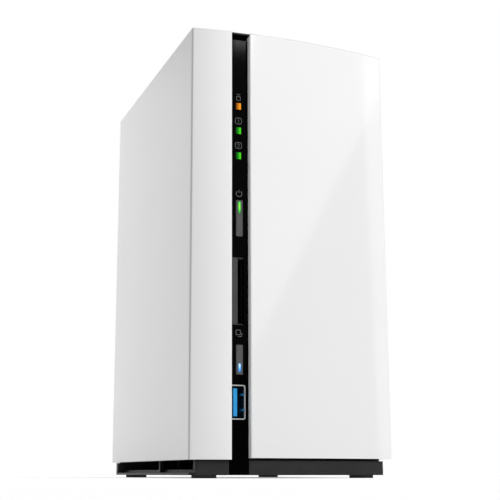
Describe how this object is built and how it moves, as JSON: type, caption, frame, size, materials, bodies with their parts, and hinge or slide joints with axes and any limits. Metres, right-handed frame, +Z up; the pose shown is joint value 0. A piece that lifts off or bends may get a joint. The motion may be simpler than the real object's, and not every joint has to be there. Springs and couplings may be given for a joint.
{
  "type": "network attached storage",
  "caption": "Upright desktop storage unit in two white shells over a dark frame, with a control strip, card and USB ports, drives and fan.",
  "frame": {"origin": "on the resting surface, under the middle of the case's box", "axes": "+Z up, -Y out of the front with the control strip, +X to the right seen from the front"},
  "size_m": [0.09, 0.125, 0.1877],
  "materials": {
    "white_shell": "fine satin texture",
    "white_gloss": "polished",
    "black_gloss": "polished",
    "amber_lens": "lit lens",
    "green_lens": "lit lens",
    "blue_lens": "lit lens",
    "button_plastic": "satin",
    "ivory_plastic": "satin",
    "bright_steel": "tin plated",
    "black_plastic": "satin",
    "blue_plastic": "satin",
    "base_plastic": "satin",
    "foot_rubber": "matt",
    "rear_plastic": "fine texture",
    "screw_steel": "nickel plated",
    "black_screw": "black zinc",
    "fan_plastic": "satin",
    "stator": "copper windings",
    "cable_jacket": "satin",
    "zinc_steel": "galvanised sheet",
    "cast_aluminium": "cast, painted edges",
    "lid_steel": "satin",
    "drive_board": "solder mask",
    "circuit_board": "solder mask",
    "chip_package": "matt",
    "anodised_aluminium": "anodised",
    "ferrite": "matt",
    "capacitor_can": "satin",
    "brass": "plated"
  },
  "bodies": {
    "root": {"left_cover": "white_shell", "front_strip": "black_gloss", "network_light": "amber_lens", "disk_lights": "green_lens", "card_slot_frame": "button_plastic", "card_reader_shell": "bright_steel", "card_reader_base": "black_plastic", "front_usb_shell": "bright_steel", "front_usb_tongue": "blue_plastic", "base_tray": "base_plastic", "rubber_feet": "foot_rubber", "rear_panel": "rear_plastic", "cover_screws": "screw_steel", "rear_panel_screws": "black_screw", "fan_frame": "black_plastic", "fan_stator": "stator", "fan_screws": "black_screw", "fan_lead": "cable_jacket", "fan_plug": "ivory_plastic", "drive_cage": "zinc_steel", "cage_screws": "screw_steel", "drive_1_casting": "cast_aluminium", "drive_1_lid": "lid_steel", "drive_1_board": "drive_board", "drive_1_connector": "black_plastic", "drive_2_casting": "cast_aluminium", "drive_2_lid": "lid_steel", "drive_2_board": "drive_board", "drive_2_connector": "black_plastic", "drive_lid_screws": "screw_steel", "drive_screws": "screw_steel", "backplane_board": "circuit_board", "sata_sockets": "black_plastic", "link_socket": "ivory_plastic", "main_board": "circuit_board", "main_board_screws": "screw_steel", "processor": "chip_package", "heat_sink": "anodised_aluminium", "memory_chips": "chip_package", "power_inductors": "ferrite", "capacitors": "capacitor_can", "clock_cell": "bright_steel", "clock_cell_holder": "black_plastic", "buzzer": "black_plastic", "switch_bodies": "bright_steel", "lan_jack_shell": "bright_steel", "lan_jack_insert": "black_plastic", "rear_usb_shell": "bright_steel", "rear_usb_tongues": "black_plastic", "dc_jack": "black_plastic", "dc_jack_pin": "brass"},
    "cover": {"right_cover": "white_shell", "front_panel": "white_gloss"},
    "power_key": {"power_button": "button_plastic", "power_button_light": "green_lens", "power_switch_cap": "ivory_plastic"},
    "copy_key": {"copy_button": "button_plastic", "copy_button_light": "blue_lens", "copy_switch_cap": "ivory_plastic"},
    "fan_rotor": {"fan_impeller": "fan_plastic"},
    "reset_key": {"reset_button": "button_plastic"}
  },
  "joints": [
    {"name": "cover_slide", "type": "slide", "parent": "root", "child": "cover", "axis": [0, -1, 0], "range_m": [0, 0.135]},
    {"name": "power_press", "type": "slide", "parent": "root", "child": "power_key", "axis": [0, 1, 0], "range_m": [0, 0.0008], "stiffness_N_per_m": 600, "springref_m": -0.0008},
    {"name": "copy_press", "type": "slide", "parent": "root", "child": "copy_key", "axis": [0, 1, 0], "range_m": [0, 0.0008], "stiffness_N_per_m": 600, "springref_m": -0.0008},
    {"name": "reset_press", "type": "slide", "parent": "root", "child": "reset_key", "axis": [0, -1, 0], "range_m": [0, 0.0006], "stiffness_N_per_m": 600, "springref_m": -0.0006},
    {"name": "fan_spin", "type": "hinge", "parent": "root", "child": "fan_rotor", "pos_m": [0.0123, 0.0535, 0.122], "axis": [0, 1, 0], "continuous": true}
  ]
}
